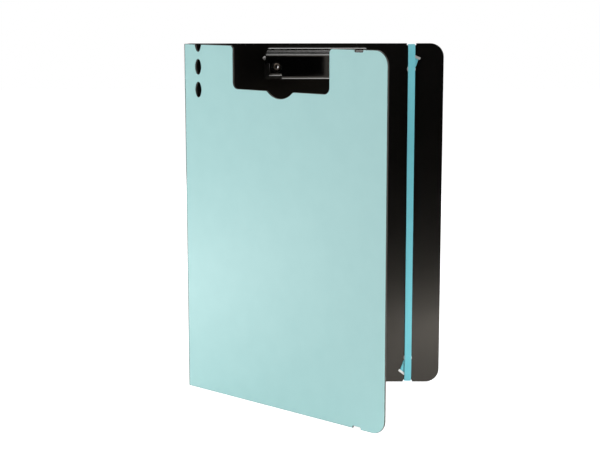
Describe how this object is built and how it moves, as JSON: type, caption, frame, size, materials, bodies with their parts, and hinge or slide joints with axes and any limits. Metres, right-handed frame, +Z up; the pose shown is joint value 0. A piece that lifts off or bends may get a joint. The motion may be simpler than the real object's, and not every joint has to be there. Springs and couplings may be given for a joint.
{
  "type": "fold-over clipboard",
  "caption": "Upright fold-over document clipboard: rear board with a low lever clip and a flat elastic, narrow creased spine, front cover with a cut-out for the clip.",
  "frame": {"origin": "middle of the rear board's bottom edge, at half the board's thickness", "axes": "+Z up along the creases; +X along the rear cover from its crease towards its free edge; -Y out of the rear cover's inner face, towards the reader"},
  "size_m": [0.2367, 0.1661, 0.32],
  "materials": {
    "core": "fine-grained black foamed polypropylene board",
    "film": "pale mint polypropylene film, satin with a very fine grain",
    "steel": "nickel-plated sheet and rod",
    "spring_steel": "bright spring wire",
    "rivet": "hollow rivet, plated outside and bare inside",
    "chrome": "polished chrome plate",
    "elastic": "flat woven elastic with lengthwise ribs"
  },
  "bodies": {
    "rear_cover": {"rear_board": "core", "rear_film": "film", "clip_base_plate": "steel", "clip_rivet_left": "rivet", "clip_rivet_right": "rivet", "clip_pivot_rod": "steel", "clip_spring": "spring_steel", "elastic_band": "elastic", "eyelet_top": "chrome", "eyelet_bottom": "chrome", "band_tip_top": "chrome", "band_tip_bottom": "chrome"},
    "spine": {"spine_board": "core", "spine_film": "film"},
    "front_cover": {"front_board": "core", "front_film": "film"},
    "clip_lever": {"clip_lever": "chrome"}
  },
  "joints": [
    {"name": "rear_crease", "type": "hinge", "parent": "rear_cover", "child": "spine", "pos_m": [-0.116, 0, 0.16], "axis": [0, 0, -1], "range_deg": [-20.5, 159.5]},
    {"name": "front_crease", "type": "hinge", "parent": "spine", "child": "front_cover", "pos_m": [-0.1202, -0.01124, 0.16], "axis": [0, 0, -1], "range_deg": [-20.5, 159.5]},
    {"name": "clip_hinge", "type": "hinge", "parent": "rear_cover", "child": "clip_lever", "pos_m": [0, -0.0061, 0.3067], "axis": [-1, 0, 0], "range_deg": [0, 30], "stiffness_Nm_per_rad": 0.3, "springref_deg": -34.38, "deforming": ["clip_spring"]}
  ]
}
